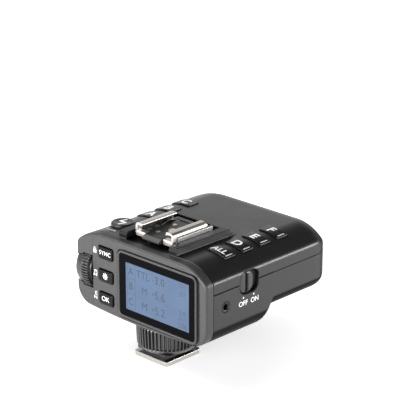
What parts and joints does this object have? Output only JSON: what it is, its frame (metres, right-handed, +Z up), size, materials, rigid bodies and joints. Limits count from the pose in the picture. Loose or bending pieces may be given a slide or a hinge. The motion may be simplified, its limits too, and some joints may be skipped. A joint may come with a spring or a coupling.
{
  "type": "wireless flash trigger",
  "caption": "Hot-shoe radio flash trigger: dark rectangular case with a rear display, keys and thumb dial, a pass-through flash shoe on top and a camera foot with a knurled lock ring below.",
  "frame": {"origin": "middle of the camera foot plate's underside", "axes": "+Y forward to the subject, the way the foot slides into a camera's shoe; +Z up; +X right as seen from behind the display"},
  "size_m": [0.0725, 0.0772, 0.0559],
  "materials": {
    "case_plastic": "fine matte texture, dark grey",
    "cap_plastic": "fine speckled matte texture, mid grey",
    "key_plastic": "satin dark grey with white marks",
    "knob_plastic": "matte black",
    "display_glass": "clear glossy cover with a black border",
    "lcd": "blue backlit panel with dark segments",
    "chrome": "bright nickel plate",
    "steel": "stamped spring steel",
    "gold": "gold-plated contacts",
    "shoe_plastic": "matte black insulator",
    "ring_plastic": "satin black with moulded ribs",
    "board": "green solder mask",
    "lamp": "frosted white light pipe",
    "red_window": "dark red transparent window",
    "cell_jacket": "printed jacket without lettering",
    "inner_plastic": "plain black moulding"
  },
  "bodies": {
    "root": {"top_cover": "case_plastic", "bottom_case": "case_plastic", "rear_cover": "cap_plastic", "dial_cover": "cap_plastic", "display_frame": "cap_plastic", "display_glass": "display_glass", "lcd_panel": "lcd", "lcd_carrier": "inner_plastic", "rear_board": "board", "dome_switches": "steel", "dial_encoder": "inner_plastic", "status_lamp": "lamp", "key_boards": "board", "shoe_bracket": "steel", "shoe_rails": "chrome", "shoe_plate": "shoe_plastic", "shoe_contacts": "gold", "shoe_spring": "steel", "shoe_screws": "steel", "foot_plate": "chrome", "foot_insulator": "shoe_plastic", "foot_post": "shoe_plastic", "foot_nut": "steel", "foot_screws": "steel", "power_switch": "inner_plastic", "sync_socket": "knob_plastic", "usb_socket": "steel", "front_window": "red_window", "front_lamp": "lamp", "battery_cradle": "inner_plastic", "battery_cells": "cell_jacket", "battery_contacts": "steel", "battery_springs": "steel", "main_board": "board", "radio_module": "steel", "case_screws": "steel"},
    "sync_key": {"sync_key": "key_plastic"},
    "lamp_key": {"lamp_key": "key_plastic"},
    "ok_key": {"ok_key": "key_plastic"},
    "test_key": {"test_key": "key_plastic"},
    "all_key": {"all_key": "key_plastic"},
    "d_key": {"d_key": "key_plastic"},
    "e_key": {"e_key": "key_plastic"},
    "f_key": {"f_key": "key_plastic"},
    "a_key": {"a_key": "key_plastic"},
    "b_key": {"b_key": "key_plastic"},
    "c_key": {"c_key": "key_plastic"},
    "power_knob": {"power_knob": "knob_plastic"},
    "select_dial": {"select_dial": "knob_plastic"},
    "clamp_plate": {"clamp_plate": "shoe_plastic"},
    "lock_ring": {"lock_ring": "ring_plastic"},
    "centre_pin": {"centre_pin": "gold"},
    "data_pin_1": {"data_pin_1": "gold"},
    "data_pin_2": {"data_pin_2": "gold"},
    "data_pin_3": {"data_pin_3": "gold"},
    "data_pin_4": {"data_pin_4": "gold"},
    "battery_door": {"battery_door": "case_plastic"}
  },
  "joints": [
    {"name": "sync_key_press", "type": "slide", "parent": "root", "child": "sync_key", "axis": [0, 1, 0], "range_m": [0, 0.0006], "stiffness_N_per_m": 800},
    {"name": "lamp_key_press", "type": "slide", "parent": "root", "child": "lamp_key", "axis": [0, 1, 0], "range_m": [0, 0.0006], "stiffness_N_per_m": 800},
    {"name": "ok_key_press", "type": "slide", "parent": "root", "child": "ok_key", "axis": [0, 1, 0], "range_m": [0, 0.0006], "stiffness_N_per_m": 800},
    {"name": "test_key_press", "type": "slide", "parent": "root", "child": "test_key", "axis": [0, 0, -1], "range_m": [0, 0.0008], "stiffness_N_per_m": 800},
    {"name": "all_key_press", "type": "slide", "parent": "root", "child": "all_key", "axis": [0, 0, -1], "range_m": [0, 0.0008], "stiffness_N_per_m": 800},
    {"name": "d_key_press", "type": "slide", "parent": "root", "child": "d_key", "axis": [0, 0, -1], "range_m": [0, 0.0008], "stiffness_N_per_m": 800},
    {"name": "e_key_press", "type": "slide", "parent": "root", "child": "e_key", "axis": [0, 0, -1], "range_m": [0, 0.0008], "stiffness_N_per_m": 800},
    {"name": "f_key_press", "type": "slide", "parent": "root", "child": "f_key", "axis": [0, 0, -1], "range_m": [0, 0.0008], "stiffness_N_per_m": 800},
    {"name": "a_key_press", "type": "slide", "parent": "root", "child": "a_key", "axis": [0, 0, -1], "range_m": [0, 0.0008], "stiffness_N_per_m": 800},
    {"name": "b_key_press", "type": "slide", "parent": "root", "child": "b_key", "axis": [0, 0, -1], "range_m": [0, 0.0008], "stiffness_N_per_m": 800},
    {"name": "c_key_press", "type": "slide", "parent": "root", "child": "c_key", "axis": [0, 0, -1], "range_m": [0, 0.0008], "stiffness_N_per_m": 800},
    {"name": "power_slide", "type": "slide", "parent": "root", "child": "power_knob", "axis": [0, 1, 0], "range_m": [0, 0.0022]},
    {"name": "dial_turn", "type": "hinge", "parent": "root", "child": "select_dial", "pos_m": [-0.0315, -0.0071, 0.0322], "axis": [-1, 0, 0], "continuous": true},
    {"name": "clamp_drop", "type": "slide", "parent": "root", "child": "clamp_plate", "axis": [0, 0, -1], "range_m": [0, 0.0012]},
    {"name": "ring_turn", "type": "hinge", "parent": "clamp_plate", "child": "lock_ring", "pos_m": [0, 0, 0.01], "axis": [0, 0, -1], "range_deg": [0, 360]},
    {"name": "centre_pin_press", "type": "slide", "parent": "root", "child": "centre_pin", "axis": [0, 0, 1], "range_m": [0, 0.0005], "stiffness_N_per_m": 300},
    {"name": "data_pin_1_press", "type": "slide", "parent": "root", "child": "data_pin_1", "axis": [0, 0, 1], "range_m": [0, 0.0005], "stiffness_N_per_m": 300},
    {"name": "data_pin_2_press", "type": "slide", "parent": "root", "child": "data_pin_2", "axis": [0, 0, 1], "range_m": [0, 0.0005], "stiffness_N_per_m": 300},
    {"name": "data_pin_3_press", "type": "slide", "parent": "root", "child": "data_pin_3", "axis": [0, 0, 1], "range_m": [0, 0.0005], "stiffness_N_per_m": 300},
    {"name": "data_pin_4_press", "type": "slide", "parent": "root", "child": "data_pin_4", "axis": [0, 0, 1], "range_m": [0, 0.0005], "stiffness_N_per_m": 300},
    {"name": "door_slide", "type": "slide", "parent": "root", "child": "battery_door", "axis": [0, 1, 0], "range_m": [0, 0.006]}
  ],
  "couplings": [
    {"joint": "clamp_drop", "follows": "ring_turn", "m_per_rad": 0.00019099}
  ]
}
